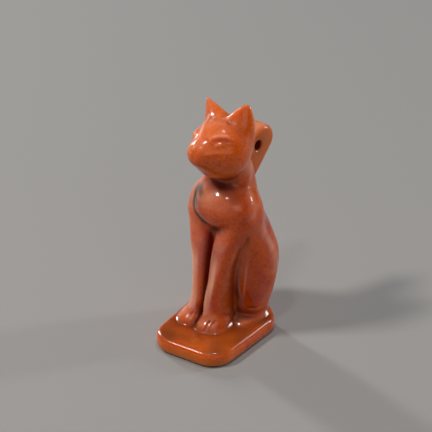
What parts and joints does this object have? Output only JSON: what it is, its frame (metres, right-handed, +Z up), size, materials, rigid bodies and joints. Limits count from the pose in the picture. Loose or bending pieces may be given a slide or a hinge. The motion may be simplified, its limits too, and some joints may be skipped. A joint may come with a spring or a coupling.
{
  "type": "cat amulet",
  "caption": "Small seated cat amulet carved with its base from one piece of polished carnelian, with a bored suspension loop behind the head.",
  "frame": {"origin": "centre of the whole outline in X and Y, on the underside of the base", "axes": "+Z up from the base to the ears, -Y the way the cat looks, +X the cat's left side"},
  "size_m": [0.0082, 0.013, 0.022],
  "materials": {
    "carnelian": "polished, translucent orange-red"
  },
  "bodies": {
    "root": {"cat_amulet": "carnelian"}
  },
  "joints": []
}
